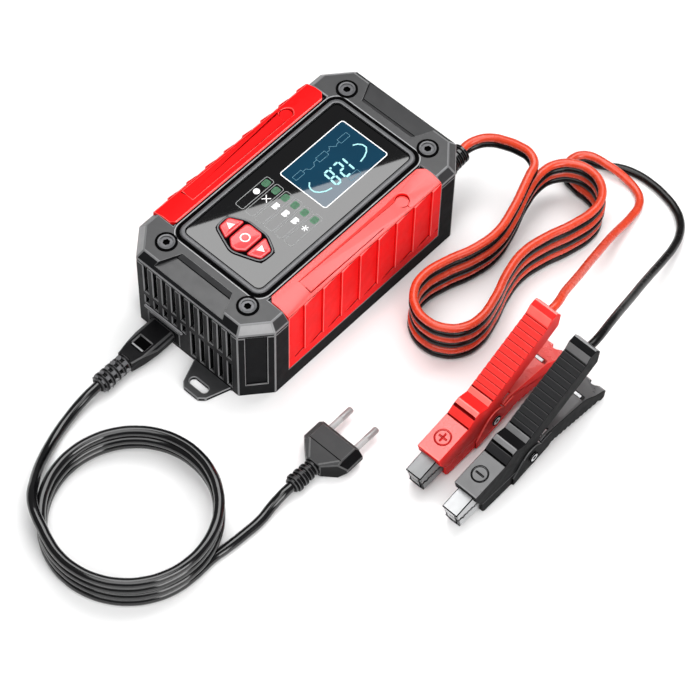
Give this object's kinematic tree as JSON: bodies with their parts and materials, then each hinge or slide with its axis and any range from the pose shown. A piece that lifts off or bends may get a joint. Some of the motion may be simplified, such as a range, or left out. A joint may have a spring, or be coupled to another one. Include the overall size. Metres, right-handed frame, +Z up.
{
  "type": "car battery charger",
  "caption": "Battery charger with display and keypad in a chamfered ribbed case, a coiled mains lead with two-pin plug, and a hanked two-core lead ending in spring clamps.",
  "frame": {"origin": "centre of the case's flat underside", "axes": "+X across the case towards the battery leads, +Y from the mains inlet end to the battery lead end, +Z up out of the display"},
  "size_m": [0.243, 0.4246, 0.0671],
  "materials": {
    "case_plastic": "fine moulded texture",
    "trim_plastic": "satin",
    "surround_plastic": "satin",
    "lens_plastic": "gloss",
    "button_plastic": "satin translucent",
    "display_glass": "gloss",
    "board": "satin",
    "led_plastic": "gloss",
    "component_plastic": "matt",
    "ferrite": "matt",
    "copper": "enamelled copper",
    "heatsink_aluminium": "extruded",
    "fuse_metal": "plated",
    "screw_steel": "blackened",
    "cord_black": "gloss vinyl",
    "lead_red": "satin vinyl",
    "pin_metal": "nickel plated",
    "clamp_red": "satin",
    "clamp_black": "satin",
    "jaw_steel": "bright plated"
  },
  "bodies": {
    "charger": {"lower_case": "case_plastic", "top_cover": "case_plastic", "side_trim_left": "trim_plastic", "side_trim_right": "trim_plastic", "display_bezel": "surround_plastic", "display_lens": "lens_plastic", "keypad_bezel": "surround_plastic", "lcd_module": "display_glass", "display_board": "board", "display_screws": "fuse_metal", "status_leds": "led_plastic", "tact_switches": "component_plastic", "main_board": "board", "board_screws": "fuse_metal", "transformer_core": "ferrite", "transformer_winding": "copper", "capacitors": "component_plastic", "heatsinks": "heatsink_aluminium", "power_transistors": "component_plastic", "emi_choke": "copper", "fuse": "fuse_metal", "mains_inlet": "case_plastic", "inlet_pins": "fuse_metal", "case_screws": "screw_steel", "fan_frame": "component_plastic", "fan_screws": "fuse_metal", "mains_connector": "cord_black", "mains_cord_in": "cord_black", "mains_coil": "cord_black", "mains_cord_out": "cord_black", "plug_body": "cord_black", "plug_pins": "pin_metal", "dc_gland": "cord_black", "red_lead_exit": "lead_red", "black_lead_exit": "cord_black", "red_hank": "lead_red", "black_hank": "cord_black", "red_lead_tail": "lead_red", "black_lead_tail": "cord_black", "red_upper_shell": "clamp_red", "red_upper_jaw": "jaw_steel", "red_pivot_pin": "jaw_steel", "red_spring": "jaw_steel", "red_inner_lead": "copper", "black_upper_shell": "clamp_black", "black_upper_jaw": "jaw_steel", "black_pivot_pin": "jaw_steel", "black_spring": "jaw_steel", "black_inner_lead": "copper"},
    "up_key": {"up_button": "button_plastic"},
    "enter_key": {"enter_button": "button_plastic"},
    "down_key": {"down_button": "button_plastic"},
    "fan_wheel": {"fan_rotor": "component_plastic"},
    "red_lever": {"red_lower_shell": "clamp_red", "red_lower_jaw": "jaw_steel"},
    "black_lever": {"black_lower_shell": "clamp_black", "black_lower_jaw": "jaw_steel"}
  },
  "joints": [
    {"name": "up_press", "type": "slide", "parent": "charger", "child": "up_key", "axis": [0, 0, -1], "range_m": [0, 0.0008], "stiffness_N_per_m": 1200},
    {"name": "enter_press", "type": "slide", "parent": "charger", "child": "enter_key", "axis": [0, 0, -1], "range_m": [0, 0.0008], "stiffness_N_per_m": 1200},
    {"name": "down_press", "type": "slide", "parent": "charger", "child": "down_key", "axis": [0, 0, -1], "range_m": [0, 0.0008], "stiffness_N_per_m": 1200},
    {"name": "fan_spin", "type": "hinge", "parent": "charger", "child": "fan_wheel", "pos_m": [-0.014, 0.0825, 0.028], "axis": [0, 1, 0], "continuous": true},
    {"name": "red_clamp_grip", "type": "hinge", "parent": "charger", "child": "red_lever", "pos_m": [0.15, -0.0109, 0.015], "axis": [1, 0.0052, 0], "range_deg": [0, 20], "stiffness_Nm_per_rad": 1.5, "springref_deg": -34.38},
    {"name": "black_clamp_grip", "type": "hinge", "parent": "charger", "child": "black_lever", "pos_m": [0.1802, -0.0145, 0.015], "axis": [1, -0.007, 0], "range_deg": [0, 20], "stiffness_Nm_per_rad": 1.5, "springref_deg": -34.38}
  ]
}
